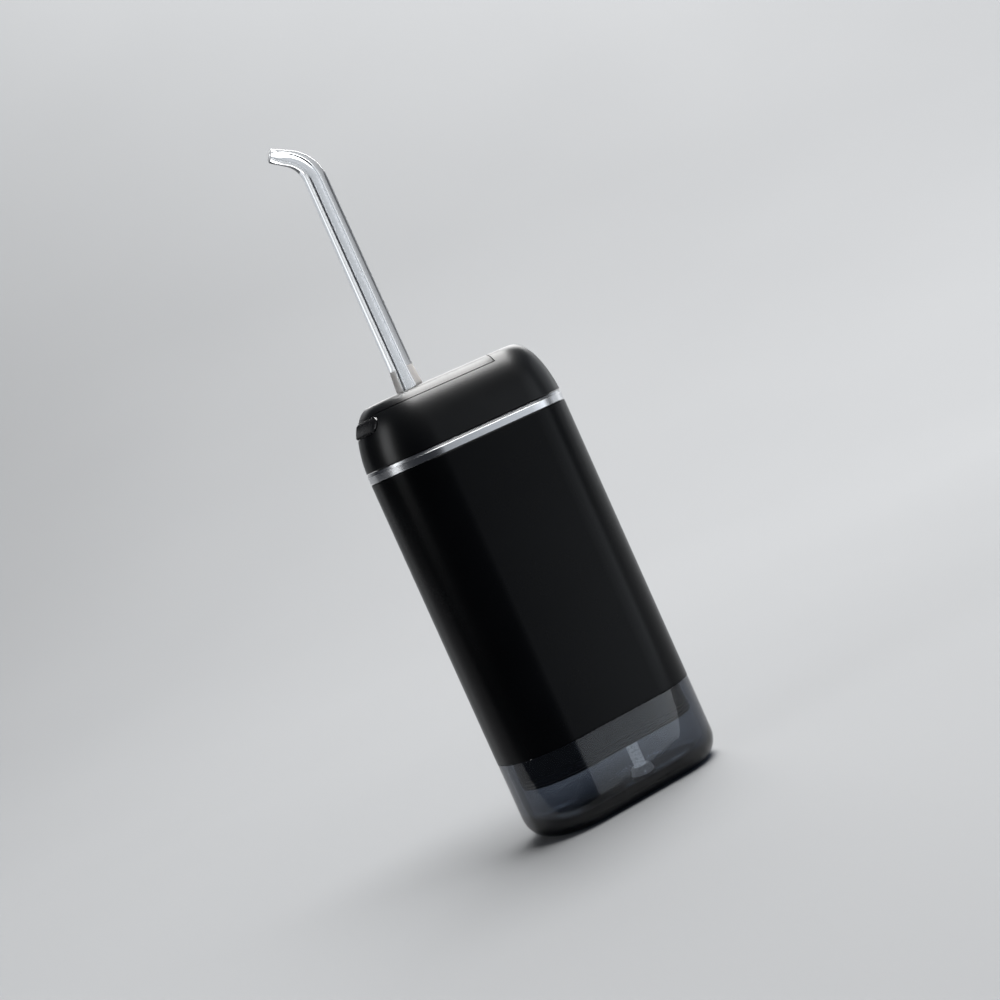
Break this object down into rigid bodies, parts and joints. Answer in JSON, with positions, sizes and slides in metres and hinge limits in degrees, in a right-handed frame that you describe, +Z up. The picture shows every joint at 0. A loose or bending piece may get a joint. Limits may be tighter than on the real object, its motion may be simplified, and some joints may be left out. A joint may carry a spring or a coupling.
{
  "type": "water flosser",
  "caption": "Collapsible pocket water flosser: pill-plan body with a clear tank foot, opaque sleeve, metal collar ring, rounded head, ribbed nozzle release and bent clear jet nozzle.",
  "frame": {"origin": "centre of the flat underside of the foot", "axes": "+Z up along the body, +X from the nozzle side towards the plain side, +Y towards the wide face with the power button, charging port and filling plug"},
  "size_m": [0.06, 0.034, 0.2026],
  "materials": {
    "satin_black": "fine satin grain, slightly glossy",
    "inner_black": "smooth satin black",
    "clear_smoke": "clear moulded plastic with a faint smoke tint, polished",
    "clear_nozzle": "clear moulded plastic, polished",
    "satin_metal": "satin bright metal with a polished upper chamfer",
    "black_rubber": "soft matte",
    "grey_nylon": "moulded",
    "white_acetal": "smooth moulded",
    "bright_steel": "plain bright",
    "green_board": "solder mask",
    "cell_wrap": "shrink wrap",
    "plain_brass": "machined",
    "clear_silicone": "translucent soft tube",
    "light_diffuser": "milky light guide"
  },
  "bodies": {
    "tank": {"tank_shell": "clear_smoke", "outer_sleeve": "satin_black", "collar_ring": "satin_metal", "mouth_seal": "black_rubber", "pickup_tube": "clear_silicone", "pickup_filter": "white_acetal"},
    "plug": {"fill_plug": "black_rubber"},
    "module": {"inner_casing": "inner_black", "casing_floor": "inner_black", "piston_seal": "black_rubber", "gland_seal": "black_rubber", "suction_pipe": "grey_nylon", "head_shell": "satin_black", "top_cover": "satin_black", "casing_screw_a": "bright_steel", "casing_screw_b": "bright_steel", "casing_screw_c": "bright_steel", "casing_screw_d": "bright_steel", "drive_frame": "grey_nylon", "motor_can": "bright_steel", "motor_screw_a": "bright_steel", "motor_screw_b": "bright_steel", "gear_axle": "bright_steel", "battery_cell": "cell_wrap", "pump_cylinder": "white_acetal", "valve_block": "grey_nylon", "suction_hose": "clear_silicone", "pressure_tube": "clear_silicone", "nozzle_socket": "grey_nylon", "return_spring": "bright_steel", "control_board": "green_board", "tact_switch": "bright_steel", "usb_socket": "bright_steel", "light_pipe": "light_diffuser"},
    "swivel": {"swivel_sleeve": "white_acetal"},
    "jet": {"nozzle": "clear_nozzle", "nozzle_oring": "black_rubber"},
    "release": {"release_button": "satin_black"},
    "power": {"power_button": "satin_black"},
    "flap": {"port_flap": "black_rubber"},
    "crank": {"drive_gear": "white_acetal"},
    "rotor": {"motor_shaft": "bright_steel", "motor_pinion": "plain_brass"},
    "piston": {"pump_piston": "white_acetal", "piston_cup": "black_rubber", "wrist_pin": "bright_steel"},
    "rod": {"connecting_rod": "white_acetal"},
    "inlet_valve": {"inlet_valve_ball": "bright_steel"},
    "outlet_valve": {"outlet_valve_ball": "bright_steel"}
  },
  "joints": [
    {"name": "telescope", "type": "slide", "parent": "tank", "child": "module", "axis": [0, 0, 1], "range_m": [0, 0.058]},
    {"name": "fill_plug_pull", "type": "slide", "parent": "tank", "child": "plug", "axis": [0, 1, 0], "range_m": [0, 0.01]},
    {"name": "nozzle_turn", "type": "hinge", "parent": "module", "child": "swivel", "pos_m": [-0.0094, 0, 0.1178], "axis": [0, 0, 1], "continuous": true},
    {"name": "nozzle_lift", "type": "slide", "parent": "swivel", "child": "jet", "axis": [0, 0, 1], "range_m": [0, 0.018]},
    {"name": "release_press", "type": "slide", "parent": "module", "child": "release", "axis": [1, 0, 0], "range_m": [0, 0.0009], "stiffness_N_per_m": 800},
    {"name": "power_press", "type": "slide", "parent": "module", "child": "power", "axis": [0, -1, 0], "range_m": [0, 0.0005], "stiffness_N_per_m": 1500},
    {"name": "port_flap_hinge", "type": "hinge", "parent": "module", "child": "flap", "pos_m": [0.0102, 0.0166, 0.1144], "axis": [-1, 0, 0], "range_deg": [0, 100]},
    {"name": "crank_spin", "type": "hinge", "parent": "module", "child": "crank", "pos_m": [0.0056, 0, 0.0904], "axis": [0, 0, 1], "continuous": true},
    {"name": "rotor_spin", "type": "hinge", "parent": "module", "child": "rotor", "pos_m": [0.0156, 0, 0.0904], "axis": [0, 0, 1], "continuous": true},
    {"name": "piston_stroke", "type": "slide", "parent": "module", "child": "piston", "axis": [1, 0, 0], "range_m": [0, 0.004]},
    {"name": "rod_swing", "type": "hinge", "parent": "piston", "child": "rod", "pos_m": [-0.0104, 0, 0.097], "axis": [0, 0, 1], "range_deg": [-8.2, 8.2]},
    {"name": "inlet_ball_lift", "type": "slide", "parent": "module", "child": "inlet_valve", "axis": [0, 0, 1], "range_m": [0, 0.0005]},
    {"name": "outlet_ball_lift", "type": "slide", "parent": "module", "child": "outlet_valve", "axis": [0, 0, 1], "range_m": [0, 0.0004]}
  ],
  "couplings": [
    {"joint": "crank_spin", "follows": "rotor_spin", "ratio": -0.33333}
  ]
}
